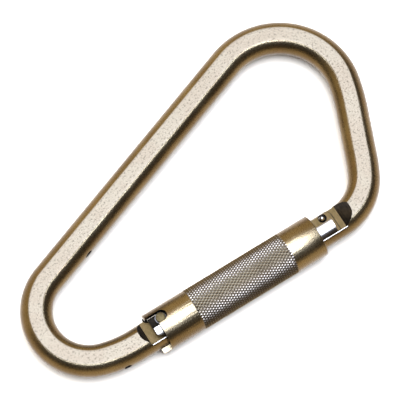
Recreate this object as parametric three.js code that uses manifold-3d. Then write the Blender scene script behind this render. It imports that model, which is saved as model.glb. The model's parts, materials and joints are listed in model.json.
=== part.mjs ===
// Large steel locking carabiner: an offset-D frame bent from round bar, with a sprung gate and a
// push-and-turn locking sleeve. Millimetres, +Z up, lying flat: the spine runs along X, the gate is
// on the -Y side with its nose towards +X, and z = 0 is where the sleeve touches the ground.
import * as THREE from "three";
import { mergeVertices } from "three/addons/utils/BufferGeometryUtils.js";
import { ConvexGeometry } from "three/addons/geometries/ConvexGeometry.js";
import Module from "manifold-3d";

const wasm = await Module();
wasm.setup();

const degrees = Math.PI / 180;

// ---- driving dimensions ----------------------------------------------------------------------

// The frame's bar: round, with a flat pressed on its front and on its back.
const BAR_RADIUS = 8;
const FLAT_HEIGHT = 7.2; // from the mid-plane to each flat
const GATE_ANGLE = -19.9 * degrees; // the gate's axis against the spine

// The bar's centreline, clockwise from the hinge: a leg that eases into the left bend, the spine,
// the top bend, a run that eases down to the nose bend, and the nose.
const LEG_START = -15.9; // where the leg leaves the gate's axis
const LEG_RADIUS = 63;
const LEG_TURN = 16.5 * degrees;
const LEFT_BEND = 25.9;
const SPINE_LENGTH = 142;
const TOP_BEND = 33.8;
const TOP_TURN = 123.2 * degrees;
const RUN_RADIUS = 95;
const RUN_TURN = 9.1 * degrees;
const NOSE_RUN_RADIUS = 76;
const NOSE_RUN_TURN = 7.5 * degrees;
const NOSE_BEND = 25.8;

// The gate's own coordinates: a runs along its axis from the hinge to the nose, w towards the
// inside of the frame, z up from the mid-plane.
const PIVOT_W = 3.9;
const PIN_A = 93.7;
const PIN_W = 4.6;
const SWING_LIMIT = 42 * degrees;

const BARREL_RADIUS = 7.9;
const BARREL_START = -6;
const BARREL_END = 99;
const CHEEK_FLAT = 4.8; // height of the flats milled beside the rivet and the latch pin
const HINGE_FLAT_W = 0.6; // those flats cover w above this
const NOSE_FLAT_W = 1.5;
const CHEEK_SWEEP = 9; // the cheeks' lower corner is rounded about the pivot to this
const HINGE_SLOT_END = 11;
const NOSE_SLOT_START = 85.4;
const SLOT_HALF = 2.8;
const TANG_HALF = 2.5;
const NOSE_ROUND = 4;
const NOSE_END_FLAT = 96.6;

const RIM_W = -5.5; // the full-section rims beside the gate lie below this
const HINGE_RIM_END = 1.5;
const NOSE_RIM_END = 87.9;
const HINGE_FOOT = -10.3; // where each milled recess meets its tang
const NOSE_FOOT = 102;
const HINGE_RECESS = 12; // the arc where each recess meets the flat
const HINGE_RECESS_A = -1.6;
const NOSE_RECESS = 10.5;
const NOSE_RECESS_A = 97.6;

const SLEEVE_RADIUS = 10.9;
const SLEEVE_BORE = 8.3;
const SLEEVE_CAVITY = 9.7;
const CAVITY_START = 18;
const SLEEVE_LONG_END = -7.3; // the sleeve's rear half reaches past the hinge
const SLEEVE_FRONT_END = -2.7; // its front half is cut back
const SLEEVE_NOSE_END = 87.4;
const POCKET_RADIUS = 3.2;

const RIVET_RADIUS = 2;
const RIVET_HEAD = 2.55;
const RIVET_TOP = 7.2;
const PIN_RADIUS = 1.4;
const ROD_RADIUS = 1.6;
const ROD_TIP = 6.2; // centre of the rod's domed tip
const ROD_TRAVEL = 1.6; // how far the swinging gate pushes the rod back
const CLEARANCE = 0.3;

const MID_HEIGHT = SLEEVE_RADIUS; // the mid-plane's height above the ground

// ---- solids from three.js geometry -----------------------------------------------------------

function solid(geometry) {
  const bare = geometry.clone();
  bare.deleteAttribute("normal");
  bare.deleteAttribute("uv");
  const merged = mergeVertices(bare, 1e-4);
  return new wasm.Manifold(
    new wasm.Mesh({
      numProp: 3,
      vertProperties: merged.attributes.position.array,
      triVerts: new Uint32Array(merged.index.array),
    }),
  );
}

function geometryOf(shape) {
  const cut = shape.getMesh();
  const geometry = new THREE.BufferGeometry();
  geometry.setAttribute("position", new THREE.BufferAttribute(cut.vertProperties, 3));
  geometry.setIndex(new THREE.BufferAttribute(cut.triVerts, 1));
  const flat = geometry.toNonIndexed();
  flat.computeVertexNormals();
  return flat;
}

// A box between two values on each axis.
function block(a0, a1, w0, w1, z0, z1) {
  const box = new THREE.BoxGeometry(a1 - a0, w1 - w0, z1 - z0);
  return solid(box.translate((a0 + a1) / 2, (w0 + w1) / 2, (z0 + z1) / 2));
}

// A round bar along the first axis.
function bar(radius, a0, a1, sides = 48) {
  const cylinder = new THREE.CylinderGeometry(radius, radius, a1 - a0, sides);
  return solid(cylinder.rotateZ(-Math.PI / 2).translate((a0 + a1) / 2, 0, 0));
}

// A round post along z, at a point of the plane.
function post(radius, a, w, z0, z1, sides = 24) {
  const cylinder = new THREE.CylinderGeometry(radius, radius, z1 - z0, sides);
  return solid(cylinder.rotateX(Math.PI / 2).translate(a, w, (z0 + z1) / 2));
}

// A tube along the first axis.
function ring(inner, outer, a0, a1, sides = 48) {
  return bar(outer, a0, a1, sides).subtract(bar(inner, a0 - 1, a1 + 1, sides));
}

// A flat plate centred on the mid-plane, from its outline.
function plate(outline, halfThickness) {
  const shape = new THREE.Shape(outline);
  const depth = 2 * halfThickness;
  const extruded = new THREE.ExtrudeGeometry(shape, { depth, bevelEnabled: false });
  return solid(extruded.translate(0, 0, -halfThickness));
}

// A sector about the first axis. Angle 0 is +w and 90 degrees is +z.
function sector(radius, from, to, a0, a1) {
  const shape = new THREE.Shape();
  shape.moveTo(0, 0);
  shape.absarc(0, 0, radius, from, to, false);
  shape.lineTo(0, 0);
  const options = { depth: a1 - a0, bevelEnabled: false, curveSegments: 16 };
  const extruded = new THREE.ExtrudeGeometry(shape, options);
  const turn = new THREE.Matrix4().makeBasis(
    new THREE.Vector3(0, 1, 0),
    new THREE.Vector3(0, 0, 1),
    new THREE.Vector3(1, 0, 0),
  );
  return solid(extruded.applyMatrix4(turn).translate(a0, 0, 0));
}

function bothSides(shape) {
  return shape.add(shape.mirror([0, 0, 1]));
}

// A wire wound along the first axis, closed at both ends.
class Coil extends THREE.Curve {
  constructor(radius, a0, a1, turns) {
    super();
    Object.assign(this, { radius, a0, a1, turns });
  }
  getPoint(t, target = new THREE.Vector3()) {
    const angle = 2 * Math.PI * this.turns * t;
    const a = THREE.MathUtils.lerp(this.a0, this.a1, t);
    return target.set(a, this.radius * Math.cos(angle), this.radius * Math.sin(angle));
  }
}

function spring(radius, wireRadius, a0, a1, turns, stepsPerTurn) {
  const wire = new THREE.Shape();
  wire.absarc(0, 0, wireRadius, 0, 2 * Math.PI, false);
  const extrudePath = new Coil(radius, a0 + wireRadius, a1 - wireRadius, turns);
  const steps = turns * stepsPerTurn;
  return new THREE.ExtrudeGeometry(wire, { steps, extrudePath, curveSegments: 3 });
}

// ---- the frame's centreline ------------------------------------------------------------------

// Everything is laid out about the gate's origin first, and moved to the bounding box's centre at
// the end.
function gatePoint(a, w) {
  return new THREE.Vector2(a, w).rotateAround(new THREE.Vector2(), GATE_ANGLE);
}

const pivot = gatePoint(0, PIVOT_W);
const gateNormal = gatePoint(0, 1);

// A centreline laid down piece by piece, turning clockwise all the way.
class Route {
  constructor(start, heading) {
    this.path = new THREE.Path();
    this.path.moveTo(start.x, start.y);
    this.at = start.clone();
    this.heading = heading;
    this.centres = [];
  }
  direction() {
    return new THREE.Vector2(Math.cos(this.heading), Math.sin(this.heading));
  }
  forward(length) {
    this.at.addScaledVector(this.direction(), length);
    this.path.lineTo(this.at.x, this.at.y);
    return this;
  }
  bend(radius, turn) {
    const inward = this.direction().rotateAround(new THREE.Vector2(), -Math.PI / 2);
    const centre = this.at.clone().addScaledVector(inward, radius);
    const from = this.at.clone().sub(centre).angle();
    this.path.absarc(centre.x, centre.y, radius, from, from - turn, true);
    this.at.rotateAround(centre, -turn);
    this.heading -= turn;
    this.centres.push(centre);
    return this;
  }
}

const route = new Route(gatePoint(HINGE_RIM_END, 0), Math.PI + GATE_ANGLE)
  .forward(HINGE_RIM_END - LEG_START)
  .bend(LEG_RADIUS, LEG_TURN)
  .bend(LEFT_BEND, Math.PI + GATE_ANGLE - LEG_TURN)
  .forward(SPINE_LENGTH)
  .bend(TOP_BEND, TOP_TURN)
  .bend(RUN_RADIUS, RUN_TURN);

// The run is as long as it takes for the nose to come back onto the gate's axis.
const noseTurn = Math.PI - GATE_ANGLE - TOP_TURN - RUN_TURN - NOSE_RUN_TURN;
const addNose = (line) => line.bend(NOSE_RUN_RADIUS, NOSE_RUN_TURN).bend(NOSE_BEND, noseTurn);
const trial = addNose(new Route(route.at, route.heading));
addNose(route.forward(-trial.at.dot(gateNormal) / route.direction().dot(gateNormal)));
route.forward(route.at.distanceTo(gatePoint(NOSE_RIM_END, 0)));

// The same route as a curve in space.
class LevelCurve extends THREE.Curve {
  constructor(flat) {
    super();
    this.flat = flat;
  }
  getPoint(t, target = new THREE.Vector3()) {
    const p = this.flat.getPoint(t);
    return target.set(p.x, p.y, 0);
  }
}

// ---- the frame -------------------------------------------------------------------------------

const gateTurn = new THREE.Matrix4().makeRotationZ(GATE_ANGLE).toArray();

// The section's first axis lies across the frame's plane, so the flats face along it.
function barSection() {
  const flatEdge = Math.acos(FLAT_HEIGHT / BAR_RADIUS);
  const section = new THREE.Shape();
  section.absarc(0, 0, BAR_RADIUS, flatEdge, Math.PI - flatEdge, false);
  section.absarc(0, 0, BAR_RADIUS, Math.PI + flatEdge, 2 * Math.PI - flatEdge, false);
  return section;
}

function sweptBar() {
  const extrudePath = new LevelCurve(route.path);
  const options = { steps: 92, extrudePath, curveSegments: 5 };
  return solid(new THREE.ExtrudeGeometry(barSection(), options));
}

// The milled recess in front of a tang: a straight foot at the tang, and a ramp that rises to an
// arc on the flat. Side is -1 towards the hinge and 1 towards the nose.
function recess(foot, centreA, centreW, radius, side) {
  const top = FLAT_HEIGHT + 2;
  const stretch = (top - TANG_HALF) / (FLAT_HEIGHT - TANG_HALF);
  const far = foot - side * 40;
  const points = [];
  for (const w of [RIM_W, 9]) {
    points.push(new THREE.Vector3(foot, w, TANG_HALF));
    points.push(new THREE.Vector3(far, w, TANG_HALF));
    points.push(new THREE.Vector3(far, w, top));
  }
  const rows = 12;
  for (let i = 0; i <= rows; i++) {
    const w = THREE.MathUtils.lerp(RIM_W, 9, i / rows);
    const edge = centreA + side * Math.sqrt(radius ** 2 - (w - centreW) ** 2);
    const beyond = Math.max(0, side * (edge - foot));
    points.push(new THREE.Vector3(foot + side * beyond * stretch, w, top));
  }
  return solid(new ConvexGeometry(points));
}

// Where the rod's domed tip touches the cam, about the pivot, when the gate has swung this far. The
// cam is the tip's path in the tang's own frame, set back by the dome and its clearance.
function camPoint(swing) {
  const rate = ROD_TRAVEL / SWING_LIMIT;
  const centre = new THREE.Vector2(ROD_TIP + rate * swing, -PIVOT_W);
  const inward = new THREE.Vector2(-centre.x, PIVOT_W + rate).normalize();
  const touch = centre.addScaledVector(inward, ROD_RADIUS + CLEARANCE);
  return touch.rotateAround(new THREE.Vector2(), swing);
}

// The hinge tang: an eye about the pivot, and a cam that pushes the rod back at a steady rate as
// the gate swings.
function hingeTang() {
  const lift = (point) => point.add(new THREE.Vector2(0, PIVOT_W));
  const outline = [new THREE.Vector2(-13, 8)];
  for (const [a, w] of [[0, 3.3], [2, 3.3], [5.4, 3]]) {
    outline.push(lift(new THREE.Vector2(a, w)));
  }
  const steps = 8;
  for (let i = steps; i >= -2; i--) {
    outline.push(lift(camPoint((SWING_LIMIT * i) / steps)));
  }
  outline.push(new THREE.Vector2(HINGE_RIM_END, RIM_W - 0.5));
  outline.push(new THREE.Vector2(-13, RIM_W - 0.5));
  const body = plate(outline.reverse(), TANG_HALF).intersect(bar(BAR_RADIUS, -20, 20));
  const sleeveRelief = post(2, -5.9, PIVOT_W + 4, -9, 9);
  const rivetHole = post(RIVET_RADIUS + CLEARANCE, 0, PIVOT_W, -9, 9);
  return body.subtract(sleeveRelief).subtract(rivetHole);
}

// The nose tang: a hook that passes under the latch pin and rises behind it.
function noseTang() {
  const under = PIN_W - PIN_RADIUS - 0.4;
  const outline = [
    [105, RIM_W - 0.5],
    [105, 7],
    [101, 7.2],
    [PIN_A + 2.6, 7.2],
    [PIN_A + 1.9, 6.2],
    [PIN_A + 1.9, under],
    [PIN_A - 1.9, under],
    [PIN_A - 1.9, 6.4],
    [PIN_A - 3.9, 6.4],
    [PIN_A - 4.7, 5],
    [PIN_A - 4.7, RIM_W - 0.5],
  ].map(([a, w]) => new THREE.Vector2(a, w));
  return plate(outline, TANG_HALF).intersect(bar(BAR_RADIUS, 80, 113));
}

// Two small holes in line for a captive pin: one through the lower leg, one blind in the spine.
function captiveHoles() {
  const outside = pivot.clone().add(new THREE.Vector2(-27.6, -1.2));
  const inside = pivot.clone().add(new THREE.Vector2(6.2, 50.5));
  const along = inside.clone().sub(outside);
  const reach = along.length() + 5;
  const drill = new THREE.CylinderGeometry(1.9, 1.9, reach + 5, 16);
  drill.translate(0, (reach - 5) / 2, 0).rotateZ(along.angle() - Math.PI / 2);
  return solid(drill.translate(outside.x, outside.y, 0));
}

function frameSolid() {
  // Above the rims, everything beside the gate is milled away and the two tangs are put back.
  const reachUp = 12;
  const hingeOpen = block(HINGE_FOOT + 0.1, 30, RIM_W, reachUp, -reachUp, reachUp);
  const noseOpen = block(60, NOSE_FOOT - 0.1, RIM_W, reachUp, -reachUp, reachUp);
  const hingeRecess = recess(HINGE_FOOT, HINGE_RECESS_A, PIVOT_W, HINGE_RECESS, -1);
  const noseRecess = recess(NOSE_FOOT, NOSE_RECESS_A, PIN_W, NOSE_RECESS, 1);
  const milled = bothSides(hingeRecess.add(noseRecess)).add(hingeOpen).add(noseOpen);
  return sweptBar()
    .subtract(milled.transform(gateTurn))
    .add(hingeTang().add(noseTang()).transform(gateTurn))
    .subtract(captiveHoles());
}

// ---- the gate --------------------------------------------------------------------------------

function gateBarrel() {
  const wide = 12;
  const hingeSlot = block(-9, HINGE_SLOT_END, -wide, wide, -SLOT_HALF, SLOT_HALF);
  const noseSlot = block(NOSE_SLOT_START, 110, -wide, wide, -SLOT_HALF, SLOT_HALF);
  const hingeFlat = block(-9, 7, HINGE_FLAT_W, wide, CHEEK_FLAT, wide);
  const noseFlat = block(83.5, 110, NOSE_FLAT_W, wide, CHEEK_FLAT, wide);
  const endFlat = block(NOSE_END_FLAT, 110, -wide, wide, CHEEK_FLAT, wide);
  const hingeUnder = block(-9, HINGE_RIM_END + 1.5, -wide, -4.5, -wide, wide);
  const noseUnder = block(NOSE_RIM_END - 0.8, 110, -wide, -5, -wide, wide);
  const swept = post(CHEEK_SWEEP, 0, PIVOT_W, -wide, wide, 48).add(
    block(0, 110, -wide, wide, -wide, wide),
  );
  const roundA = BARREL_END - NOSE_ROUND;
  const roundW = BARREL_RADIUS - NOSE_ROUND;
  const noseCorner = block(roundA, 110, roundW, wide, -wide, wide).subtract(
    post(NOSE_ROUND, roundA, roundW, -wide, wide),
  );
  const groove = ring(BARREL_RADIUS - 0.7, wide, 61.3, 62.9);
  const rodBore = bar(ROD_RADIUS + CLEARANCE, 8, 45, 16);
  const rivetHole = post(RIVET_RADIUS + CLEARANCE, 0, PIVOT_W, -wide, wide);
  const pinHole = post(PIN_RADIUS + CLEARANCE, PIN_A, PIN_W, -wide, wide);
  const pinSinks = bothSides(post(2, PIN_A, PIN_W, CHEEK_FLAT - 0.5, wide));
  return [
    hingeSlot,
    noseSlot,
    bothSides(hingeFlat.add(noseFlat).add(endFlat)),
    hingeUnder,
    noseUnder,
    noseCorner,
    groove,
    rodBore,
    rivetHole,
    pinHole,
    pinSinks,
  ].reduce(
    (left, cut) => left.subtract(cut),
    bar(BARREL_RADIUS, BARREL_START, BARREL_END).intersect(swept),
  );
}

function hingeRivet() {
  const shank = post(RIVET_RADIUS, 0, PIVOT_W, -CHEEK_FLAT, 6);
  return shank.add(post(RIVET_HEAD, 0, PIVOT_W, 5.6, RIVET_TOP, 32));
}

function hingeWasher() {
  const disc = post(3, 0, PIVOT_W, 4.9, 5.5, 32);
  return disc.subtract(post(RIVET_RADIUS + CLEARANCE, 0, PIVOT_W, 4, 6));
}

function latchPin() {
  return post(PIN_RADIUS, PIN_A, PIN_W, 0.1 - CHEEK_FLAT, CHEEK_FLAT - 0.1);
}

function pushRod() {
  const dome = new THREE.SphereGeometry(ROD_RADIUS, 16, 10).rotateZ(Math.PI / 2);
  return bar(ROD_RADIUS, ROD_TIP, 15, 16).add(solid(dome.translate(ROD_TIP, 0, 0)));
}

function snapRing() {
  const gap = block(60, 65, 0, 12, -2.5, 2.5);
  return ring(BARREL_RADIUS - 0.4, 9.2, 61.6, 62.6).subtract(gap);
}

// ---- the sleeve ------------------------------------------------------------------------------

const noseSlotCut = block(81, 93, -6.2, 6.2, -12, 0); // lets the nose rim out of the turned sleeve

function lockingSleeve() {
  const wide = 12;
  const shell = bar(SLEEVE_RADIUS, SLEEVE_LONG_END, SLEEVE_NOSE_END)
    .subtract(bar(SLEEVE_BORE, -10, 95))
    .subtract(bar(SLEEVE_CAVITY, CAVITY_START, 95));
  const pocketTop = PIVOT_W + POCKET_RADIUS;
  const cutBack = block(-10, SLEEVE_FRONT_END, -wide, pocketTop, 0, wide);
  const pocket = post(POCKET_RADIUS, 0, PIVOT_W, 0, wide, 32);
  const pocketMouth = block(-5, 0, PIVOT_W - POCKET_RADIUS, pocketTop, 0, wide);
  // A relief inside the skin lets the rivet's head pass when the sleeve turns.
  const headRelief = sector(10.2, 42 * degrees, 172 * degrees, -5, 3.6);
  const tangSlot = block(-10, 2, 5, wide, -2.9, 2.9);
  return [cutBack, pocket, pocketMouth, headRelief, tangSlot, noseSlotCut].reduce(
    (left, cut) => left.subtract(cut),
    shell,
  );
}

function sleeveEndBush() {
  return ring(SLEEVE_BORE, SLEEVE_CAVITY - CLEARANCE, 78, 87.1).subtract(noseSlotCut);
}

// ---- materials -------------------------------------------------------------------------------

function steel(color, roughness) {
  return new THREE.MeshStandardMaterial({ color, roughness, metalness: 1 });
}

const platedFrame = steel(0xb8ac94, 0.42);
const platedSleeve = steel(0xb5a88c, 0.34);
const milledSteel = steel(0xa8946c, 0.38);
const springSteel = steel(0x77746e, 0.3);

// ---- the assembly ----------------------------------------------------------------------------

// The bar's outermost lines give the bounding box in the plane.
const [, leftCentre, topCentre, , , noseCentre] = route.centres;
const leftEdge = leftCentre.x - LEFT_BEND - BAR_RADIUS;
const rightEdge = topCentre.x + TOP_BEND + BAR_RADIUS;
const lowEdge = noseCentre.y - NOSE_BEND - BAR_RADIUS;
const highEdge = leftCentre.y + LEFT_BEND + BAR_RADIUS;

const carabiner = new THREE.Group();
carabiner.position.set(-(leftEdge + rightEdge) / 2, -(lowEdge + highEdge) / 2, MID_HEIGHT);

const gate = new THREE.Group();
gate.rotation.z = GATE_ANGLE;
carabiner.add(gate);

function addPiece(group, name, shape, material) {
  const geometry = shape.isBufferGeometry ? shape : geometryOf(shape);
  const mesh = new THREE.Mesh(geometry, material);
  mesh.name = name;
  group.add(mesh);
}

const washerInner = SLEEVE_BORE;
const washerOuter = SLEEVE_CAVITY - CLEARANCE;

addPiece(carabiner, "frame", frameSolid(), platedFrame);
addPiece(gate, "gate_barrel", gateBarrel(), milledSteel);
addPiece(gate, "hinge_rivet", hingeRivet(), milledSteel);
addPiece(gate, "hinge_washer", hingeWasher(), springSteel);
addPiece(gate, "latch_pin", latchPin(), springSteel);
addPiece(gate, "gate_return_spring", spring(1.3, 0.3, 15.4, 44.6, 10, 12), springSteel);
addPiece(gate, "push_rod", pushRod(), springSteel);
addPiece(gate, "snap_ring", snapRing(), springSteel);
addPiece(gate, "spring_seat_washer", ring(washerInner, washerOuter, 60.3, 61.3), springSteel);
addPiece(gate, "sleeve_spring", spring(8.95, 0.5, 19.6, 60, 7, 16), springSteel);
addPiece(gate, "thrust_washer", ring(washerInner, washerOuter, 18.3, 19.3), springSteel);
addPiece(gate, "locking_sleeve", lockingSleeve(), platedSleeve);
addPiece(gate, "sleeve_end_bush", sleeveEndBush(), milledSteel);

export default carabiner;
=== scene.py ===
import json
import math

import bmesh
import bpy
from mathutils import Matrix, Vector


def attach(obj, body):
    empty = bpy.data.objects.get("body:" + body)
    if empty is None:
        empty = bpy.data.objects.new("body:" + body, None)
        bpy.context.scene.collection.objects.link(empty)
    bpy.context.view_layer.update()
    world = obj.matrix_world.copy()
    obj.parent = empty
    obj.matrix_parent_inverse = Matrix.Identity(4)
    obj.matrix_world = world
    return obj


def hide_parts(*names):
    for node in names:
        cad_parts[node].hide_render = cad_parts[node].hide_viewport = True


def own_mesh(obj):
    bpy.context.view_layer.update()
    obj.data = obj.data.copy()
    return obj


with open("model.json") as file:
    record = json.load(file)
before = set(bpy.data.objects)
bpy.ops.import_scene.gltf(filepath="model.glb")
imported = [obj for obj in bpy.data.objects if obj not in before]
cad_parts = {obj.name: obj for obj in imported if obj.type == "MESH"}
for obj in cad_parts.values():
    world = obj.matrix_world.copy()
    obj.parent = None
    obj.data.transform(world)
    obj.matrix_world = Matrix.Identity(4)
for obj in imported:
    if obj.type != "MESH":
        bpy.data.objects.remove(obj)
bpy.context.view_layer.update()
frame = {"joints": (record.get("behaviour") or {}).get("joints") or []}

# ---- sizes, in millimetres ---------------------------------------------------------------------

# The gate's own coordinates: a runs along its axis from the hinge to the nose, w towards the
# inside of the frame, z up from the mid-plane. Pieces are made in them and placed at the end.
MM = 0.001

# The bar, and its centreline clockwise from the hinge: lower leg, left bend, spine, top bend, a
# run that eases down to the nose bend, and the nose.
BAR_RADIUS = 8
FLAT_HEIGHT = 7.2
LEG_START = -15.9
LEG_RADIUS = 63
LEG_TURN = math.radians(16.5)
LEFT_BEND = 25.9
SPINE_LENGTH = 142
TOP_BEND = 33.8
TOP_TURN = math.radians(123.2)
RUN_RADIUS = 95
RUN_TURN = math.radians(9.1)
NOSE_RUN_RADIUS = 76
NOSE_RUN_TURN = math.radians(7.5)
NOSE_BEND = 25.8

# The hinge's pivot, at a = 0, and the latch pin.
PIVOT_W = 3.9
PIN_A = 93.7
PIN_W = 4.6
SWING_LIMIT = math.radians(42)

# The gate's barrel, with its milled cheeks and its slots.
BARREL_RADIUS = 7.9
BARREL_START = -6
BARREL_END = 99
CHEEK_FLAT = 4.8
HINGE_FLAT_W = 0.6
NOSE_FLAT_W = 1.5
CHEEK_SWEEP = 9
HINGE_SLOT_END = 11
NOSE_SLOT_START = 85.4
SLOT_HALF = 2.8
TANG_HALF = 2.5
NOSE_ROUND = 4
NOSE_END_FLAT = 96.6

# The frame beside the gate: rims below the barrel, and a recess in front of each tang.
RIM_W = -5.5
HINGE_RIM_END = 1.5
NOSE_RIM_END = 87.9
HINGE_FOOT = -10.3
NOSE_FOOT = 102
HINGE_RECESS = 12
HINGE_RECESS_A = -1.6
NOSE_RECESS = 10.5
NOSE_RECESS_A = 97.6

# The locking sleeve. Its rear half reaches past the hinge, and its front half is cut back.
SLEEVE_RADIUS = 10.9
SLEEVE_BORE = 8.3
SLEEVE_CAVITY = 9.7
CAVITY_START = 18
SLEEVE_LONG_END = -7.3
SLEEVE_FRONT_END = -2.7
SLEEVE_NOSE_END = 87.4
POCKET_RADIUS = 3.2

KNURL_START = 16
KNURL_END = 70.7
KNURL_STARTS = 46
KNURL_ANGLE = math.radians(30)
KNURL_DEPTH = 0.42

# The rivet, the latch pin, the push rod, and what is hidden inside the sleeve.
RIVET_RADIUS = 2
RIVET_HEAD = 2.55
RIVET_TOP = 7.2
PIN_RADIUS = 1.4
PIN_SINK = 0.85  # depth of its countersink, and how far it spreads past the pin
EDGE_STEP = 0.75  # the step, painted near-black as the shade of a gap, that breaks the cheeks' edge round the nose
EDGE_DROP = 1.9
RIM_TOP = 5.5  # height of the bright land along each rim
ROD_RADIUS = 1.6
ROD_TIP = 6.2
ROD_END = 15
ROD_TRAVEL = 1.6
SLEEVE_TRAVEL = 5.3
CLEARANCE = 0.3

RING_GROOVE = 61.3  # where the snap ring's groove starts
RING_GROOVE_WIDTH = 1.6
WASHER_THICK = 1
SEAT_START = RING_GROOVE - WASHER_THICK
THRUST_START = CAVITY_START + CLEARANCE
SLEEVE_COIL_END = 60
ROD_BORE_END = 45
CAPTIVE_HOLE = 1.9
HEAD_RELIEF = 10.2  # inside the sleeve's skin, so that the rivet's head passes as it turns

WIDE = 13  # beyond the widest piece
TAU = 2 * math.pi

twist = next(joint for joint in frame["joints"] if joint["name"] == "sleeve_twist")
gate_origin = Vector(twist["pos_m"])
gate_axis = -Vector(twist["axis"])
GATE_ANGLE = math.atan2(gate_axis.y, gate_axis.x)
PLACE = Matrix.Translation(gate_origin) @ Matrix.Rotation(GATE_ANGLE, 4, "Z") @ Matrix.Scale(MM, 4)


# ---- node trees --------------------------------------------------------------------------------


class Signal:
    """A socket whose arithmetic adds Math nodes to its tree."""

    def __init__(self, graph, socket):
        self.graph = graph
        self.socket = socket

    def math(self, operation, *values, clamp=False):
        settings = {"operation": operation, "use_clamp": clamp}
        values = dict(enumerate((self, *values)))
        return self.graph.node("ShaderNodeMath", settings, values)[0]

    def __add__(self, other):
        return self.math("ADD", other)

    def __radd__(self, other):
        return self.math("ADD", other)

    def __sub__(self, other):
        return self.math("SUBTRACT", other)

    def __rsub__(self, other):
        return self.math("MULTIPLY", -1) + other

    def __mul__(self, other):
        return self.math("MULTIPLY", other)

    def __rmul__(self, other):
        return self.math("MULTIPLY", other)

    def __truediv__(self, other):
        return self.math("DIVIDE", other)


class Outputs:
    """A node's outputs by index or name, as signals."""

    def __init__(self, graph, made):
        self.graph = graph
        self.made = made

    def __getitem__(self, key):
        return Signal(self.graph, self.made.outputs[key])


class Graph:
    """Adds nodes to one tree."""

    def __init__(self, tree):
        self.tree = tree

    def node(self, kind, settings=None, values=None):
        made = self.tree.nodes.new(kind)
        for name, value in (settings or {}).items():
            if name == "stops":
                self.set_stops(made.color_ramp, value)
            else:
                setattr(made, name, value)
        for key, value in (values or {}).items():
            self.feed(made.inputs[key], value)
        return Outputs(self, made)

    def feed(self, socket, value):
        if isinstance(value, Signal):
            self.tree.links.new(value.socket, socket)
        else:
            socket.default_value = value

    @staticmethod
    def set_stops(ramp, stops):
        while len(ramp.elements) < len(stops):
            ramp.elements.new(0.5)
        for element, (place, colour) in zip(ramp.elements, stops):
            element.position = place
            element.color = (*colour, 1)

    def step(self, value, low, high):
        """Rises smoothly from 0 at low to 1 at high."""
        settings = {"interpolation_type": "SMOOTHSTEP"}
        values = {"Value": value, "From Min": low, "From Max": high}
        return self.node("ShaderNodeMapRange", settings, values)["Result"]

    def mix(self, factor, first, second):
        settings = {"data_type": "RGBA"}
        values = {0: factor, 6: self.colour(first), 7: self.colour(second)}
        return self.node("ShaderNodeMix", settings, values)[2]

    @staticmethod
    def colour(value):
        return value if isinstance(value, Signal) else (*value, 1)

    def noise(self, place, scale, detail=2, roughness=0.5):
        values = {"Vector": place, "Scale": scale, "Detail": detail, "Roughness": roughness}
        return self.node("ShaderNodeTexNoise", None, values)["Fac"]


def shape_tree(name, inputs):
    """A Geometry Nodes tree with named number inputs, and its group input's signals."""
    tree = bpy.data.node_groups.new(name, "GeometryNodeTree")
    tree.interface.new_socket("Geometry", in_out="INPUT", socket_type="NodeSocketGeometry")
    tree.interface.new_socket("Geometry", in_out="OUTPUT", socket_type="NodeSocketGeometry")
    for label in inputs:
        tree.interface.new_socket(label, in_out="INPUT", socket_type="NodeSocketFloat")
    graph = Graph(tree)
    return graph, graph.node("NodeGroupInput")


def end_shape(graph, geometry, material):
    """Closes a tree with Realize Instances and Set Material."""
    real = graph.node("GeometryNodeRealizeInstances", None, {"Geometry": geometry})["Geometry"]
    values = {"Geometry": real, "Material": material}
    painted = graph.node("GeometryNodeSetMaterial", None, values)["Geometry"]
    graph.node("NodeGroupOutput", None, {"Geometry": painted})


def grown(source, graph, sizes, name):
    """Runs a Geometry Nodes tree on an object, and keeps the result as a plain mesh."""
    modifier = source.modifiers.new("shape", "NODES")
    modifier.node_group = graph.tree
    for item in graph.tree.interface.items_tree:
        if item.in_out == "INPUT" and item.name in sizes:
            modifier[item.identifier] = float(sizes[item.name])
    mesh = plain_mesh(source, name)
    bpy.data.objects.remove(source)
    return new_object(mesh, name)


def plain_mesh(source, name):
    bpy.context.view_layer.update()
    depsgraph = bpy.context.evaluated_depsgraph_get()
    mesh = bpy.data.meshes.new_from_object(source.evaluated_get(depsgraph))
    mesh.name = name
    return mesh


# ---- materials ---------------------------------------------------------------------------------

# Linear colours of each finish, worn or coated. They are warm and dark because the light is cool
# and strong.
BRONZE = (0.128, 0.080, 0.0275)
BRONZE_DARK = (0.098, 0.059, 0.0195)
BRONZE_RED = (0.120, 0.066, 0.023)
PALE = (0.116, 0.0755, 0.0305)
PALE_DARK = (0.044, 0.028, 0.0108)
PALE_ROSE = (0.112, 0.071, 0.0285)
TAN = (0.052, 0.027, 0.0068)
TAN_DARK = (0.033, 0.0175, 0.0038)
OLIVE = (0.043, 0.025, 0.0062)
OLIVE_DARK = (0.030, 0.0165, 0.0042)
# Painted shade: dark colours put on the ramps and holes, where shade falls.
RAMP_SHADE_TONE = (0.040, 0.027, 0.013)
RAMP_SHADE_DEEP = (0.020, 0.0135, 0.0065)
# Painted shade: near-black colours put on deep cuts and hollows, where shade falls.
PAINTED_SHADE_BLACK = (0.0065, 0.0040, 0.0016)
PAINTED_SHADE_DEEP = (0.0030, 0.0020, 0.0008)
WORN = (0.150, 0.103, 0.052)
# Painted shade: the knurl's grooves are darkened towards this colour.
GROOVE_SHADE = (0.017, 0.0115, 0.0050)
BRIGHT = (0.16, 0.115, 0.060)
BRIGHT_DARK = (0.11, 0.078, 0.038)
IRON = (0.06, 0.042, 0.022)
IRON_DARK = (0.03, 0.021, 0.011)

# How much of the light each finish sends back as a mirror does; the rest it scatters.
POLISHED_SHARE = 1.0
BLASTED_SHARE = 0.35
MILLED_SHARE = 0.35


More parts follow.
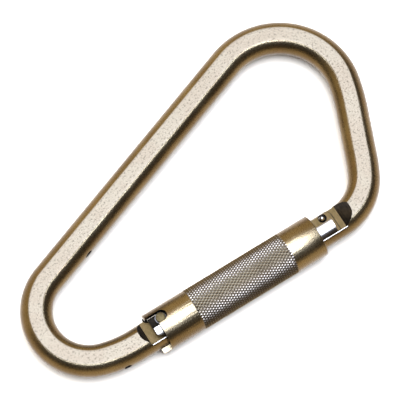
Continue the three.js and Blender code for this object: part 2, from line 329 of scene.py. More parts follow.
def metal(name, build):
    """A metal finish; build gives its colour, mirror share, roughness, bump height and strength."""
    material = bpy.data.materials.new(name)
    material.use_nodes = True
    graph = Graph(material.node_tree)
    graph.tree.nodes.clear()
    place = graph.node("ShaderNodeTexCoord")["Object"]
    colour, share, roughness, height, strength = build(graph, place)
    bump_values = {"Strength": strength, "Distance": MM, "Height": height}
    normal = graph.node("ShaderNodeBump", None, bump_values)["Normal"]
    values = {
        "Base Color": colour,
        "Metallic": share,
        "Roughness": roughness,
        "Normal": normal,
        "Specular IOR Level": 0,
    }
    shader = graph.node("ShaderNodeBsdfPrincipled", None, values)["BSDF"]
    graph.node("ShaderNodeOutputMaterial", None, {"Surface": shader})
    return material


def on_gate(graph, place):
    """Object coordinates turned into the gate's own, in millimetres."""
    shifted = graph.node(
        "ShaderNodeVectorMath", {"operation": "SUBTRACT"}, {0: place, 1: gate_origin}
    )[0]
    values = {"Vector": shifted, "Rotation": (0, 0, -GATE_ANGLE), "Scale": (1 / MM,) * 3}
    return graph.node("ShaderNodeMapping", {"vector_type": "POINT"}, values)[0]


def tool_lines(graph, place, per_mm, drift):
    """Noise drawn out into lines that run round the gate's axis."""
    values = {"Vector": on_gate(graph, place), "Scale": (per_mm, drift, drift)}
    return graph.noise(graph.node("ShaderNodeMapping", None, values)[0], 1, 2)


def bronze_coat(graph, place):
    """The satin yellow coat on round surfaces: cloudy colour, a fine grain and a few dull spots."""
    clouds = graph.noise(place, 55, 3)
    grain = graph.noise(place, 1900, 2)
    tint = graph.mix(graph.step(clouds, 0.38, 0.64), BRONZE_DARK, BRONZE)
    warm = graph.step(graph.noise(place, 130, 2), 0.55, 0.72)
    tint = graph.mix(warm * 0.55, tint, BRONZE_RED)
    tint = graph.mix(graph.step(grain, 0.62, 0.78) * 0.35, tint, BRONZE_DARK)
    return tint, grain


def blasted_coat(graph, place):
    """The pale blasted flats: a speckle of fine dark pits and faint warm clouds."""
    fine = graph.noise(place, 1050, 3, 0.62)
    pits = graph.step(fine, 0.53, 0.66)
    tint = graph.mix(graph.step(graph.noise(place, 90, 2), 0.42, 0.62), PALE, PALE_ROSE)
    return graph.mix(pits * 0.8, tint, PALE_DARK), fine, pits


def plated_bar(graph, place):
    height = graph.node("ShaderNodeSeparateXYZ", None, {0: place})[2]
    from_middle = (height - gate_origin.z).math("ABSOLUTE")
    flat = graph.step(from_middle, (FLAT_HEIGHT - 0.16) * MM, (FLAT_HEIGHT - 0.05) * MM)
    round_tint, grain = bronze_coat(graph, place)
    flat_tint, fine, pits = blasted_coat(graph, place)
    tint = graph.mix(flat, round_tint, flat_tint)
    roughness = 0.24 + grain * 0.08 + flat * (0.13 + pits * 0.12)
    relief = grain * 0.9 + flat * fine * 1.2
    share = POLISHED_SHARE - flat * (POLISHED_SHARE - BLASTED_SHARE)
    return tint, share, roughness, relief, 0.16


def plated_sleeve(graph, place):
    """Satin coat with faint lathe lines round the axis."""
    lines = tool_lines(graph, place, 9, 0.25)
    round_tint, grain = bronze_coat(graph, place)
    tint = graph.mix(graph.step(lines, 0.55, 0.75) * 0.25, round_tint, BRONZE_DARK)
    roughness = 0.20 + lines * 0.1 + grain * 0.06
    return tint, POLISHED_SHARE, roughness, lines * 0.2 + grain * 0.8, 0.14


def knurled_sleeve(graph, place):
    """The knurl: the coat in its grooves darkened with painted shade, and worn bright on the points.
    """
    spot = graph.node("ShaderNodeSeparateXYZ", None, {0: on_gate(graph, place)})
    radius = (spot[1] * spot[1] + spot[2] * spot[2]).math("SQRT")
    worn = graph.step(radius, SLEEVE_RADIUS - 0.26, SLEEVE_RADIUS - 0.04)
    round_tint, grain = bronze_coat(graph, place)
    groove_shade_tint = graph.mix(0.7, round_tint, GROOVE_SHADE)
    patch = graph.step(graph.noise(place, 320, 2), 0.3, 0.6)
    tint = graph.mix(worn * (0.55 + patch * 0.4), groove_shade_tint, WORN)
    return tint, POLISHED_SHARE, 0.34 - worn * 0.08 + grain * 0.08, grain, 0.06


def milled_face(graph, place):
    """Machined faces under the coat: fine tool lines across the gate."""
    lines = tool_lines(graph, place, 7, 0.5)
    clouds = graph.noise(place, 260, 2)
    tint = graph.mix(graph.step(lines * 0.6 + clouds * 0.4, 0.42, 0.62), TAN_DARK, TAN)
    return tint, MILLED_SHARE, 0.36 + clouds * 0.14, lines, 0.12


def rivet_face(graph, place):
    """The rivet's pressed head: olive, dull, with a faint mottle."""
    clouds = graph.noise(place, 700, 3)
    tint = graph.mix(graph.step(clouds, 0.4, 0.62), OLIVE_DARK, OLIVE)
    return tint, MILLED_SHARE, 0.38 + clouds * 0.12, clouds, 0.10


def painted_shade_ramp(graph, place):
    """The ramps that the cutter left, and the drilled holes: painted dark as their shade, with arcs
    of tool marks.
    """
    lines = tool_lines(graph, place, 4, 0.4)
    fine = graph.noise(place, 900, 2)
    tint = graph.mix(graph.step(lines, 0.4, 0.65), RAMP_SHADE_DEEP, RAMP_SHADE_TONE)
    return tint, POLISHED_SHARE, 0.40 + fine * 0.15, lines + fine * 0.5, 0.10


def painted_shade_pocket(graph, place):
    """Deep cuts: painted nearly black as their shade, and dull."""
    clouds = graph.noise(place, 380, 3)
    tint = graph.mix(graph.step(clouds, 0.4, 0.62), PAINTED_SHADE_DEEP, PAINTED_SHADE_BLACK)
    return tint, MILLED_SHARE, 0.5 + clouds * 0.15, clouds, 0.12


def bright_barrel(graph, place):
    """The gate's polished round bar, with faint lines round it."""
    lines = tool_lines(graph, place, 6, 0.2)
    clouds = graph.noise(place, 200, 2)
    tint = graph.mix(graph.step(clouds, 0.4, 0.65), BRIGHT_DARK, BRIGHT)
    return tint, POLISHED_SHARE, 0.16 + lines * 0.08, lines, 0.03


def spring_steel(graph, place):
    """Bare hardened steel: grey, lightly oiled, with a darker bloom."""
    clouds = graph.noise(place, 420, 3)
    fine = graph.noise(place, 2200, 2)
    tint = graph.mix(graph.step(clouds, 0.4, 0.62), IRON_DARK, IRON)
    return tint, POLISHED_SHARE, 0.26 + clouds * 0.14, fine, 0.05


BAR_COAT = metal("plated_bar", plated_bar)
SLEEVE_COAT = metal("plated_sleeve", plated_sleeve)
KNURL_COAT = metal("knurled_sleeve", knurled_sleeve)
MILLED = metal("milled_face", milled_face)
RIVET_FACE = metal("rivet_face", rivet_face)
SHADED_RAMP = metal("painted_shade_ramp", painted_shade_ramp)
# Painted shade for deep cuts and hollows.
CUT_SHADE = metal("painted_shade_pocket", painted_shade_pocket)
POLISHED = metal("bright_barrel", bright_barrel)
STEEL = metal("spring_steel", spring_steel)


# ---- solids ------------------------------------------------------------------------------------


def new_object(mesh, name):
    made = bpy.data.objects.new(name, mesh)
    bpy.context.scene.collection.objects.link(made)
    return made


def from_bmesh(built, name, material=None):
    bmesh.ops.recalc_face_normals(built, faces=built.faces)
    mesh = bpy.data.meshes.new(name)
    built.to_mesh(mesh)
    built.free()
    if material:
        mesh.materials.append(material)
    return new_object(mesh, name)


def prism(outline, z0, z1, material=None):
    """An upright prism on an outline in the plane."""
    built = bmesh.new()
    low = [built.verts.new((a, w, z0)) for a, w in outline]
    high = [built.verts.new((a, w, z1)) for a, w in outline]
    built.faces.new(low)
    built.faces.new(high)
    count = len(outline)
    for i in range(count):
        j = (i + 1) % count
        built.faces.new((low[i], low[j], high[j], high[i]))
    return from_bmesh(built, "prism", material)


def block(a0, a1, w0, w1, z0, z1, material=None):
    return prism([(a0, w0), (a1, w0), (a1, w1), (a0, w1)], z0, z1, material)


def post(radius, a, w, z0, z1, material, sides=64):
    outline = [
        (a + radius * math.cos(TAU * i / sides), w + radius * math.sin(TAU * i / sides))
        for i in range(sides)
    ]
    return prism(outline, z0, z1, material)


def turned(profile, material, sides=96):
    """A solid turned about the gate's axis, from its profile of (a, radius), closed on itself."""
    built = bmesh.new()
    rings = []
    for a, radius in profile:
        if radius == 0:
            rings.append([built.verts.new((a, 0, 0))] * sides)
            continue
        ring = []
        for i in range(sides):
            angle = TAU * i / sides
            spot = (a, radius * math.cos(angle), radius * math.sin(angle))
            ring.append(built.verts.new(spot))
        rings.append(ring)
    on_axis = profile[0][1] == 0
    pairs = list(zip(rings, rings[1:] if on_axis else rings[1:] + rings[:1]))
    for first, second in pairs:
        for i in range(sides):
            j = (i + 1) % sides
            corners = dict.fromkeys((first[i], first[j], second[j], second[i]))
            built.faces.new(list(corners))
    return from_bmesh(built, "turned", material)


def rod(radius, a0, a1, material, sides):
    return turned([(a0, 0), (a0, radius), (a1, radius), (a1, 0)], material, sides)


def tube(inner, outer, a0, a1, material, chamfer=0.15):
    profile = [
        (a0, inner + chamfer),
        (a0, outer - chamfer),
        (a0 + chamfer, outer),
        (a1 - chamfer, outer),
        (a1, outer - chamfer),
        (a1, inner + chamfer),
        (a1 - chamfer, inner),
        (a0 + chamfer, inner),
    ]
    return turned(profile, material)


def stud(profile, a, w, material):
    """A solid turned about an upright axis through a point of the plane, from (z, radius)."""
    made = turned(profile, material, 48)
    upright = Matrix.Rotation(math.radians(-90), 4, "Y")
    made.data.transform(Matrix.Translation((a, w, 0)) @ upright)
    return made


def combine(target, others, operation):
    """Boolean of target with the others, which it uses up. New faces keep the cutter's material."""
    for other in others:
        modifier = target.modifiers.new("cut", "BOOLEAN")
        modifier.operation = operation
        modifier.solver = "EXACT"
        modifier.material_mode = "TRANSFER"
        modifier.object = other
    target.data = plain_mesh(target, target.name)
    target.modifiers.clear()
    for other in others:
        bpy.data.objects.remove(other)
    return target


def carve(target, *cutters):
    return combine(target, cutters, "DIFFERENCE")


def finish_piece(piece, name, body, nodes, sharp=32):
    """Tidies a mesh, puts it in place, ties it to its body and hides its CAD nodes."""
    built = bmesh.new()
    built.from_mesh(piece.data)
    bmesh.ops.remove_doubles(built, verts=built.verts, dist=0.002)
    bmesh.ops.dissolve_degenerate(built, edges=built.edges, dist=0.001)
    built.to_mesh(piece.data)
    built.free()
    piece.data.transform(PLACE)
    piece.data.shade_smooth()
    piece.data.set_sharp_from_angle(angle=math.radians(sharp))
    piece.name = name
    piece.data.name = name
    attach(piece, body)
    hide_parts(*nodes)
    return piece


# ---- the frame ---------------------------------------------------------------------------------


class Walk:
    """A centreline laid down step by step, turning clockwise all the way."""

    def __init__(self, a, heading):
        self.at = Vector((a, 0))
        self.heading = heading
        self.points = [self.at.copy()]

    def direction(self):
        return Vector((math.cos(self.heading), math.sin(self.heading)))

    def forward(self, length, step=2.5):
        start = self.at.copy()
        count = max(1, round(length / step))
        for i in range(1, count + 1):
            self.points.append(start + self.direction() * length * i / count)
        self.at = self.points[-1].copy()
        return self

    def bend(self, radius, turn, step=0.9):
        count = max(2, round(radius * turn / step))
        chord = 2 * radius * math.sin(turn / count / 2)
        for _ in range(count):
            self.heading -= turn / count / 2
            self.at = self.at + self.direction() * chord
            self.heading -= turn / count / 2
            self.points.append(self.at.copy())
        return self


def add_nose(walk):
    """The run's easing and the nose bend, which bring the bar back onto the gate's axis."""
    nose_turn = math.pi - GATE_ANGLE - TOP_TURN - RUN_TURN - NOSE_RUN_TURN
    return walk.bend(NOSE_RUN_RADIUS, NOSE_RUN_TURN).bend(NOSE_BEND, nose_turn)


def centreline():
    """The bar's centreline in the gate's coordinates, where the spine lies at -GATE_ANGLE."""
    reach = 9
    walk = Walk(reach, math.pi).forward(reach - LEG_START)
    walk.bend(LEG_RADIUS, LEG_TURN).bend(LEFT_BEND, math.pi + GATE_ANGLE - LEG_TURN)
    walk.forward(SPINE_LENGTH).bend(TOP_BEND, TOP_TURN).bend(RUN_RADIUS, RUN_TURN)
    trial = Walk(0, walk.heading)
    trial.at = walk.at.copy()
    add_nose(trial)
    walk.forward(-trial.at.y / walk.direction().y)
    add_nose(walk)
    walk.forward(walk.at.x - NOSE_RIM_END)
    return walk.points


def sweep_tree():
    """Sweeps a round section with two flats along a curve."""
    graph, given = shape_tree("bar sweep", ["Bar Radius", "Flat Height", "Edge Blend"])
    circle = graph.node(
        "GeometryNodeCurvePrimitiveCircle", None, {"Resolution": 128, "Radius": given["Bar Radius"]}
    )["Curve"]
    spot = graph.node("ShaderNodeSeparateXYZ", None, {0: graph.node("GeometryNodeInputPosition")[0]})
    flat = given["Flat Height"]
    side = spot[1].math("ABSOLUTE").math("SMOOTH_MIN", flat, given["Edge Blend"])
    pressed = side * spot[1].math("SIGN")
    place = graph.node("ShaderNodeCombineXYZ", None, {0: spot[0], 1: pressed})[0]
    section = graph.node(
        "GeometryNodeSetPosition", None, {"Geometry": circle, "Position": place}
    )["Geometry"]
    values = {"Curve": given["Geometry"], "Profile Curve": section, "Fill Caps": True}
    swept = graph.node("GeometryNodeCurveToMesh", None, values)["Mesh"]
    end_shape(graph, swept, BAR_COAT)
    return graph


def swept_bar():
    points = centreline()
    line = bpy.data.curves.new("centreline", "CURVE")
    line.dimensions = "3D"
    line.twist_mode = "Z_UP"
    spline = line.splines.new("POLY")
    spline.points.add(len(points) - 1)
    for control, point in zip(spline.points, points):
        control.co = (point.x, point.y, 0, 1)
    sizes = {"Bar Radius": BAR_RADIUS, "Flat Height": FLAT_HEIGHT, "Edge Blend": 0.6}
    return grown(new_object(line, "centreline"), sweep_tree(), sizes, "frame_bar")


def ramp_cutter(foot, centre_a, centre_w, radius, side, up):
    """Cuts the recess in front of a tang: a straight foot, and a ramp that rises to an arc."""
    top = FLAT_HEIGHT + 2
    stretch = (top - TANG_HALF) / (FLAT_HEIGHT - TANG_HALF)
    high_w = 9
    rows = 48
    built = bmesh.new()
    for w in (RIM_W, high_w):
        built.verts.new((foot, w, TANG_HALF * up))
        built.verts.new((foot - side, w, TANG_HALF * up))
        built.verts.new((foot - side, w, top * up))
    for i in range(rows + 1):
        w = RIM_W + (high_w - RIM_W) * i / rows
        edge = centre_a + side * math.sqrt(radius**2 - (w - centre_w) ** 2)
        beyond = max(0, side * (edge - foot))
        built.verts.new((foot + side * beyond * stretch, w, top * up))
    hull = bmesh.ops.convex_hull(built, input=built.verts)
    spare = hull["geom_interior"] + hull["geom_unused"]
    inner = {item for item in spare if isinstance(item, bmesh.types.BMVert)}
    bmesh.ops.delete(built, geom=list(inner), context="VERTS")
    # The ramp's faces take the dark painted shade.
    return from_bmesh(built, "ramp_cutter", SHADED_RAMP)


def cam_point(swing):
    """Where the push rod's dome touches the cam, about the pivot, when the gate has swung."""
    rate = ROD_TRAVEL / SWING_LIMIT
    centre = Vector((ROD_TIP + rate * swing, -PIVOT_W))
    inward = Vector((-centre.x, PIVOT_W + rate)).normalized()
    touch = centre + inward * (ROD_RADIUS + CLEARANCE)
    touch.rotate(Matrix.Rotation(swing, 2))
    return touch


def hinge_opening():
    """What is milled away round the hinge tang, at the tang's own height."""
    outline = [(-12, WIDE), (-12, 8.2), (0, PIVOT_W + 3.3), (2, PIVOT_W + 3.3), (5.4, PIVOT_W + 3)]
    steps = 16
    for i in range(steps, -4, -1):
        touch = cam_point(SWING_LIMIT * i / steps)
        outline.append((touch.x, touch.y + PIVOT_W))
    outline += [(HINGE_RIM_END, RIM_W - 0.5), (HINGE_RIM_END, -WIDE), (30, -WIDE), (30, WIDE)]
    return prism(outline, -TANG_HALF - 0.5, TANG_HALF + 0.5, MILLED)


def nose_opening():
    """What is milled away round the nose hook, with its notch for the latch pin."""
    under = PIN_W - PIN_RADIUS - 0.4
    outline = [
        (80, RIM_W),
        (PIN_A - 4.7, RIM_W),
        (PIN_A - 4.7, 5),
        (PIN_A - 3.9, 6.4),
        (PIN_A - 1.9, 6.4),
        (PIN_A - 1.9, under + 0.6),
        (PIN_A - 1.3, under),
        (PIN_A + 1.3, under),
        (PIN_A + 1.9, under + 0.6),
        (PIN_A + 1.9, 6.2),
        (PIN_A + 2.6, 7.2),
        (101, 7.2),
        (102.1, 8.2),
        (102.1, WIDE),
        (80, WIDE),
    ]
    return prism(outline, -TANG_HALF - 0.5, TANG_HALF + 0.5, MILLED)


def captive_drill():
    """The drill for two small holes in line, through the lower leg and into the spine."""
    pivot = Vector((0, PIVOT_W))
    turn = Matrix.Rotation(-GATE_ANGLE, 2)
    outside = pivot + turn @ Vector((-27.6, -1.2))
    inside = pivot + turn @ Vector((6.2, 50.5))
    along = inside - outside
    # The holes' walls take the dark painted shade.
    drill = rod(CAPTIVE_HOLE, -5, along.length + 5, SHADED_RAMP, 48)
    angle = math.atan2(along.y, along.x)
    drill.data.transform(Matrix.Translation((*outside, 0)) @ Matrix.Rotation(angle, 4, "Z"))
    return drill


def make_frame():
    cutters = [hinge_opening(), nose_opening(), captive_drill()]
    for up in (-1, 1):
        low, high = sorted((TANG_HALF * up, WIDE * up))
        cutters.append(block(HINGE_FOOT, 30, RIM_W, WIDE, low, high, MILLED))
        cutters.append(block(60, NOSE_FOOT, RIM_W, WIDE, low, high, MILLED))
        cutters.append(
            ramp_cutter(HINGE_FOOT, HINGE_RECESS_A, PIVOT_W, HINGE_RECESS, -1, up)
        )
        cutters.append(ramp_cutter(NOSE_FOOT, NOSE_RECESS_A, PIN_W, NOSE_RECESS, 1, up))
        low, high = sorted((RIM_TOP * up, WIDE * up))
        cutters.append(block(HINGE_FOOT, NOSE_FOOT, -WIDE, WIDE, low, high, POLISHED))
    cutters.append(block(HINGE_RIM_END, 30, -WIDE, RIM_W + 1, -WIDE, WIDE, MILLED))
    cutters.append(post(2, -5.9, PIVOT_W + 4, -WIDE, WIDE, MILLED))
    cutters.append(post(RIVET_RADIUS + CLEARANCE, 0, PIVOT_W, -WIDE, WIDE, MILLED))
    bar = carve(swept_bar(), *cutters)
    return finish_piece(bar, "frame_bar", "frame", ["frame"])


# ---- the gate ----------------------------------------------------------------------------------


def nose_border(low, high):
    """What breaks the edge of the cheeks round the nose: a narrow step, painted near-black as the
    shade of a gap.
    """
    round_a = BARREL_END - NOSE_ROUND
    round_w = BARREL_RADIUS - NOSE_ROUND
    border = block(88, 110, -WIDE, WIDE, low, high, CUT_SHADE)
    return carve(
        border,
        block(80, BARREL_END - EDGE_STEP, -WIDE, round_w, -WIDE - 1, WIDE + 1, CUT_SHADE),
        block(80, round_a, -WIDE, BARREL_RADIUS + 1, -WIDE - 1, WIDE + 1, CUT_SHADE),
        post(NOSE_ROUND - EDGE_STEP, round_a, round_w, -WIDE - 1, WIDE + 1, CUT_SHADE, 96),
    )


def make_barrel():
    swept = combine(
        post(CHEEK_SWEEP, 0, PIVOT_W, -WIDE, WIDE, POLISHED, 96),
        [block(0, 110, -WIDE, WIDE, -WIDE - 1, WIDE + 1, POLISHED)],
        "UNION",
    )
    round_a = BARREL_END - NOSE_ROUND
    round_w = BARREL_RADIUS - NOSE_ROUND
    nose_corner = carve(
        block(round_a, 110, round_w, WIDE, -WIDE, WIDE, MILLED),
        post(NOSE_ROUND, round_a, round_w, -WIDE - 1, WIDE + 1, MILLED, 96),
    )
    groove_end = RING_GROOVE + RING_GROOVE_WIDTH
    groove = tube(BARREL_RADIUS - 0.7, WIDE, RING_GROOVE, groove_end, MILLED, 0.1)
    cutters = [
        block(-9, HINGE_SLOT_END, -WIDE, WIDE, -SLOT_HALF, SLOT_HALF, MILLED),
        block(NOSE_SLOT_START, 110, -WIDE, WIDE, -SLOT_HALF, SLOT_HALF, MILLED),
        block(-9, HINGE_RIM_END + 1.5, -WIDE, -4.5, -WIDE, WIDE, MILLED),
        block(NOSE_RIM_END - 0.8, 110, -WIDE, -5, -WIDE, WIDE, MILLED),
        nose_corner,
        groove,
        rod(ROD_RADIUS + CLEARANCE, 8, ROD_BORE_END, STEEL, 48),
        post(RIVET_RADIUS + CLEARANCE, 0, PIVOT_W, -WIDE, WIDE, MILLED),
        # The pin hole's wall takes the dark painted shade.
        post(PIN_RADIUS + CLEARANCE, PIN_A, PIN_W, -WIDE, WIDE, SHADED_RAMP),
    ]
    for up in (-1, 1):
        low, high = sorted((CHEEK_FLAT * up, WIDE * up))
        # The hinge cheeks' flats are painted near-black as shade.
        cutters.append(block(-9, 7, HINGE_FLAT_W, WIDE, low, high, CUT_SHADE))
        cutters.append(block(83.5, 110, NOSE_FLAT_W, WIDE, low, high, MILLED))
        cutters.append(block(NOSE_END_FLAT, 110, -WIDE, WIDE, low, high, MILLED))
        low, high = sorted(((CHEEK_FLAT - PIN_SINK) * up, WIDE * up))
        # The latch pin's countersinks are painted near-black as shade.
        cutters.append(post(PIN_RADIUS + PIN_SINK, PIN_A, PIN_W, low, high, CUT_SHADE))
        low, high = sorted(((CHEEK_FLAT - EDGE_DROP) * up, WIDE * up))
        cutters.append(nose_border(low, high))
    body = rod(BARREL_RADIUS, BARREL_START, BARREL_END, POLISHED, 128)
    body = combine(body, [swept], "INTERSECT")
    body = carve(body, *cutters)
    return finish_piece(body, "gate_core", "gate", ["gate_barrel"])


def make_rivet():
    """The hinge rivet: a slightly domed head with a rounded rim, on a plain shank."""
    profile = [(-CHEEK_FLAT, 0), (-CHEEK_FLAT, RIVET_RADIUS - 0.3)]
    profile += [(0.3 - CHEEK_FLAT, RIVET_RADIUS), (5.6, RIVET_RADIUS), (5.6, RIVET_HEAD - 0.1)]
    profile += [(5.7, RIVET_HEAD), (RIVET_TOP - 0.45, RIVET_HEAD)]
    profile += [(RIVET_TOP - 0.2, RIVET_HEAD - 0.12), (RIVET_TOP - 0.08, RIVET_HEAD - 0.4)]
    profile += [(RIVET_TOP, RIVET_HEAD * 0.45), (RIVET_TOP, 0)]
    piece = stud(profile, 0, PIVOT_W, RIVET_FACE)
    return finish_piece(piece, "domed_rivet", "gate", ["hinge_rivet"], 50)


def make_washer():
    inner = RIVET_RADIUS + CLEARANCE
    profile = [(4.9, inner), (4.9, 2.9), (5, 3), (5.4, 3), (5.5, 2.9), (5.5, inner)]
    piece = stud(profile, 0, PIVOT_W, STEEL)
    return finish_piece(piece, "rivet_washer", "gate", ["hinge_washer"])


def make_latch_pin():
    """The latch pin, peened at both ends, with a shallow centre mark."""
    end = CHEEK_FLAT - 0.1
    half = [(end - 0.45, 0.0), (end - 0.42, 0.35), (end, 1.1), (end - 0.25, PIN_RADIUS)]
    profile = [(-z, radius) for z, radius in half] + [(z, radius) for z, radius in reversed(half)]
    piece = stud(profile, PIN_A, PIN_W, POLISHED)
    return finish_piece(piece, "peened_latch_pin", "gate", ["latch_pin"], 50)


def make_push_rod():
    steps = 10
    profile = []
    for i in range(steps + 1):
        angle = math.pi / 2 * i / steps
        profile.append((ROD_TIP - ROD_RADIUS * math.cos(angle), ROD_RADIUS * math.sin(angle)))
    profile[0] = (ROD_TIP - ROD_RADIUS, 0)
    profile += [(ROD_END - 0.2, ROD_RADIUS), (ROD_END, ROD_RADIUS - 0.2), (ROD_END, 0)]
    piece = turned(profile, STEEL, 48)
    return finish_piece(piece, "domed_push_rod", "push_rod", ["push_rod"])


def coil_tree():
    """A wire wound at an even pitch, with capped ends."""
    labels = ["Coil Radius", "Wire Radius", "Length", "Turns"]
    graph, given = shape_tree("coil spring", labels)
    values = {
        "Resolution": 48,
        "Rotations": given["Turns"],
        "Start Radius": given["Coil Radius"],
        "End Radius": given["Coil Radius"],
        "Height": given["Length"],
    }
    wound = graph.node("GeometryNodeCurveSpiral", None, values)["Curve"]
    wire = graph.node(
        "GeometryNodeCurvePrimitiveCircle", None, {"Resolution": 14, "Radius": given["Wire Radius"]}
    )["Curve"]
    values = {"Curve": wound, "Profile Curve": wire, "Fill Caps": True}
    end_shape(graph, graph.node("GeometryNodeCurveToMesh", None, values)["Mesh"], STEEL)
    return graph


def make_spring(name, node, shape, travel):
    """A coil spring about the gate's axis, between a0 and a1."""
    a0, a1, wire = shape["a0"], shape["a1"], shape["wire"]
    sizes = {
        "Coil Radius": shape["radius"],
        "Wire Radius": wire,
        "Length": a1 - a0 - 2 * wire,
        "Turns": shape["turns"],
    }
    piece = grown(new_object(bpy.data.meshes.new(name), name), coil_tree(), sizes, name)
    on_axis = Matrix.Translation((a0 + wire, 0, 0)) @ Matrix.Rotation(math.radians(90), 4, "Y")
    piece.data.transform(on_axis)
    finish_piece(piece, name, "gate", [node])
    keep = 1 - travel / (a1 - a0)
    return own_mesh(piece)


def make_sleeve_coil():
    start = THRUST_START + WASHER_THICK + CLEARANCE
    shape = {"radius": 8.95, "wire": 0.5, "a0": start, "a1": SLEEVE_COIL_END, "turns": 7}
    make_spring("sleeve_coil", "sleeve_spring", shape, SLEEVE_TRAVEL)


def make_return_coil():
    end = ROD_BORE_END - 0.4
    shape = {"radius": 1.3, "wire": 0.3, "a0": ROD_END + 0.4, "a1": end, "turns": 10}
    make_spring("return_coil", "gate_return_spring", shape, ROD_TRAVEL)


def make_snap_ring():
    start = RING_GROOVE + CLEARANCE
    end = RING_GROOVE + RING_GROOVE_WIDTH - CLEARANCE
    ring = tube(BARREL_RADIUS - 0.4, 9.2, start, end, STEEL)
    ring = carve(ring, block(60, 65, 0, WIDE, -2.5, 2.5, STEEL))
    return finish_piece(ring, "split_snap_ring", "gate", ["snap_ring"])


def make_rings():
    """The two washers that the sleeve's spring works between."""
    outer = SLEEVE_CAVITY - CLEARANCE
    seat = tube(SLEEVE_BORE, outer, SEAT_START, SEAT_START + WASHER_THICK, STEEL)
    finish_piece(seat, "seat_ring", "gate", ["spring_seat_washer"])
    thrust = tube(SLEEVE_BORE, outer, THRUST_START, THRUST_START + WASHER_THICK, STEEL)
    finish_piece(thrust, "thrust_ring", "thrust", ["thrust_washer"])


# ---- the sleeve --------------------------------------------------------------------------------


def nose_slot():
    """Lets the nose rim out of the turned sleeve."""
    return block(81, 93, -6.2, 6.2, -WIDE, 0, MILLED)


def knurl_tree():
    """Presses a diamond knurl into a blank turned about X."""
    labels = ["Starts", "Lead", "Depth", "Radius", "From", "To"]
    graph, given = shape_tree("diamond knurl", labels)
    here = graph.node("GeometryNodeInputPosition")[0]
    spot = graph.node("ShaderNodeSeparateXYZ", None, {0: here})
    angle = spot[2].math("ARCTAN2", spot[1])
    around = angle / TAU * given["Starts"]
    along = (spot[0] - given["From"]) / given["Lead"]
    flanks = [
        ((around + along * way + 1000).math("PINGPONG", 0.5) * 2) for way in (1, -1)
    ]
    ridge = flanks[0].math("MINIMUM", flanks[1])
    crest = (ridge / 0.8).math("MINIMUM", 1)
    fade = graph.step(spot[0], given["From"], given["From"] + 0.9)
    fade = fade * (1 - graph.step(spot[0], given["To"] - 0.9, given["To"]))
    radius = (spot[1] * spot[1] + spot[2] * spot[2]).math("SQRT")
    skin = radius.math("GREATER_THAN", given["Radius"] - 0.05)
    shrink = 1 - (1 - crest) * fade * skin * given["Depth"] / given["Radius"]
    values = {0: spot[0], 1: spot[1] * shrink, 2: spot[2] * shrink}
    place = graph.node("ShaderNodeCombineXYZ", None, values)[0]
    pressed = graph.node(
        "GeometryNodeSetPosition", None, {"Geometry": given["Geometry"], "Position": place}
    )["Geometry"]
    end_shape(graph, pressed, SLEEVE_COAT)
    return graph


def sleeve_blank(around, step):
    """The sleeve's bar stock, with rows close enough together for the knurl."""
    chamfer = 0.45
    edge = SLEEVE_RADIUS - chamfer
    rows = round((KNURL_END - KNURL_START) / step)
    profile = [(SLEEVE_LONG_END, 0), (SLEEVE_LONG_END, edge)]
    profile += [(SLEEVE_LONG_END + chamfer * 0.4, edge + chamfer * 0.7)]
    profile += [(SLEEVE_LONG_END + chamfer, SLEEVE_RADIUS)]
    for i in range(rows + 1):
        profile.append((KNURL_START + i * step, SLEEVE_RADIUS))
    profile += [(SLEEVE_NOSE_END - chamfer, SLEEVE_RADIUS)]
    profile += [(SLEEVE_NOSE_END - chamfer * 0.4, edge + chamfer * 0.7)]
    profile += [(SLEEVE_NOSE_END, edge), (SLEEVE_NOSE_END, 0)]
    return turned(profile, SLEEVE_COAT, around)


def make_sleeve():
    per_cell = 8
    around = KNURL_STARTS * per_cell
    lead = TAU * SLEEVE_RADIUS / KNURL_STARTS / math.tan(KNURL_ANGLE)
    sizes = {
        "Starts": KNURL_STARTS,
        "Lead": lead,
        "Depth": KNURL_DEPTH,
        "Radius": SLEEVE_RADIUS,
        "From": KNURL_START,
        "To": KNURL_END,
    }
    shell = grown(sleeve_blank(around, lead / per_cell), knurl_tree(), sizes, "shell")
    head_relief = rod(HEAD_RELIEF, -5, 3.6, CUT_SHADE, 96)
    wedge = [(0, 0)]
    for degrees in range(42, 173, 10):
        angle = math.radians(degrees)
        wedge.append((2 * WIDE * math.cos(angle), 2 * WIDE * math.sin(angle)))
    sector = prism(wedge, -6, 5, CUT_SHADE)
    sector.data.transform(Matrix(((0, 0, 1, 0), (1, 0, 0, 0), (0, 1, 0, 0), (0, 0, 0, 1))))
    head_relief = combine(head_relief, [sector], "INTERSECT")
    pocket_top = PIVOT_W + POCKET_RADIUS
    # The sleeve's bore, cavity, pocket, head relief and hinge slot are painted near-black as shade.
    cutters = [
        rod(SLEEVE_BORE, -10, 95, CUT_SHADE, 128),
        rod(SLEEVE_CAVITY, CAVITY_START, 95, CUT_SHADE, 128),
        block(-10, SLEEVE_FRONT_END, -WIDE, pocket_top, 0, WIDE, SLEEVE_COAT),
        post(POCKET_RADIUS, 0, PIVOT_W, 0, WIDE, CUT_SHADE, 72),
        block(-5, 0, PIVOT_W - POCKET_RADIUS, pocket_top, 0, WIDE, CUT_SHADE),
        head_relief,
        block(-10, 2, 5, 12, -2.9, 2.9, CUT_SHADE),
        nose_slot(),
    ]
    shell = carve(shell, *cutters)
    shell.data.materials.append(KNURL_COAT)
    knurled = len(shell.data.materials) - 1
    for face in shell.data.polygons:
        a, w, z = face.center
        on_skin = math.hypot(w, z) > SLEEVE_CAVITY + 0.4
        if on_skin and KNURL_START + 0.3 < a < KNURL_END - 0.3:
            face.material_index = knurled
    return finish_piece(shell, "knurled_sleeve", "sleeve", ["locking_sleeve"], 40)


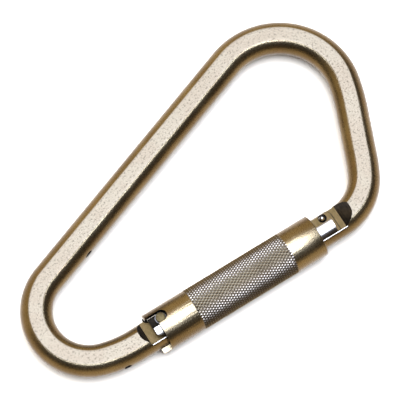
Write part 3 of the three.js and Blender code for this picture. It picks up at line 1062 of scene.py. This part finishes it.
def make_bush():
    bush = tube(SLEEVE_BORE, SLEEVE_CAVITY - CLEARANCE, 78, 87.1, MILLED, 0.2)
    bush = carve(bush, nose_slot())
    return finish_piece(bush, "end_bush", "sleeve", ["sleeve_end_bush"])


# ---- the studio --------------------------------------------------------------------------------

VIEW_AZIMUTH = math.radians(-49.1)
VIEW_ELEVATION = math.radians(71.6)
VIEW_ROLL = math.radians(-3.2)
VIEW_DISTANCE = 1.673
VIEW_HALF_WIDTH = 0.09824
VIEW_RIGHT = -0.00986  # the view's centre, from the mid-plane's centre
VIEW_UP = 0.01018

# Each light is given by its colour, the way to its centre, and its edge: the cosines between
# which it fades in.
OVERHEAD = (25.0, 36.5, 82.0)  # the soft box, which is cool
OVERHEAD_WAY = (0.042, -0.06, 1)
OVERHEAD_EDGE = (0.83, 0.97)
WALL = (1.75, 1.65, 1.30)  # the pale wall beyond the spine
WALL_WAY = (0.30, 0.95, 0.1)
WALL_EDGE = (0.1, 0.7)
ROOM = 0.16
FLOOR = (0.39, 0.267, 0.120)  # warm card, which the cool light turns white


def make_camera():
    flat = math.cos(VIEW_ELEVATION)
    back = Vector((
        math.sin(VIEW_AZIMUTH) * flat,
        -math.cos(VIEW_AZIMUTH) * flat,
        math.sin(VIEW_ELEVATION),
    ))
    right = Vector((0, 0, 1)).cross(back).normalized()
    right.rotate(Matrix.Rotation(VIEW_ROLL, 3, back))
    up = back.cross(right)
    aim = Vector((0, 0, gate_origin.z)) + right * VIEW_RIGHT + up * VIEW_UP
    data = bpy.data.cameras.new("camera")
    data.sensor_width = 36
    data.lens = data.sensor_width / 2 * VIEW_DISTANCE / VIEW_HALF_WIDTH
    data.clip_start = 0.05
    camera = new_object(data, "camera")
    turn = Matrix((right, up, back)).transposed().to_4x4()
    camera.matrix_world = Matrix.Translation(aim + back * VIEW_DISTANCE) @ turn
    bpy.context.scene.camera = camera


def make_room():
    """A soft box overhead, a pale wall beyond the spine, and a dark room round the rest."""
    world = bpy.data.worlds.new("studio")
    world.use_nodes = True
    bpy.context.scene.world = world
    graph = Graph(world.node_tree)
    graph.tree.nodes.clear()
    way = graph.node("ShaderNodeTexCoord")["Generated"]

    def towards(direction):
        values = {0: way, 1: Vector(direction).normalized()}
        return graph.node("ShaderNodeVectorMath", {"operation": "DOT_PRODUCT"}, values)["Value"]

    box = graph.step(towards(OVERHEAD_WAY), *OVERHEAD_EDGE)
    wall = graph.step(towards(WALL_WAY), *WALL_EDGE)
    levels = zip(OVERHEAD, WALL)
    channels = {i: ROOM + box * over + wall * side for i, (over, side) in enumerate(levels)}
    light = graph.node("ShaderNodeCombineColor", None, channels)[0]
    values = {"Color": light, "Strength": 1}
    shader = graph.node("ShaderNodeBackground", None, values)["Background"]
    graph.node("ShaderNodeOutputWorld", None, {"Surface": shader})


def make_floor():
    half = 4
    floor = block(-half, half, -half, half, -0.02, 0)
    floor.name = "floor"
    material = bpy.data.materials.new("pale_floor")
    material.use_nodes = True
    shader = material.node_tree.nodes["Principled BSDF"]
    shader.inputs["Base Color"].default_value = (*FLOOR, 1)
    shader.inputs["Roughness"].default_value = 0.9
    shader.inputs["Specular IOR Level"].default_value = 0
    floor.data.materials.append(material)


make_camera()
make_room()
make_floor()
bpy.context.scene.view_settings.view_transform = "Standard"

make_frame()
make_barrel()
make_rivet()
make_washer()
make_latch_pin()
make_push_rod()
make_snap_ring()
make_rings()
make_sleeve_coil()
make_return_coil()
make_sleeve()
make_bush()
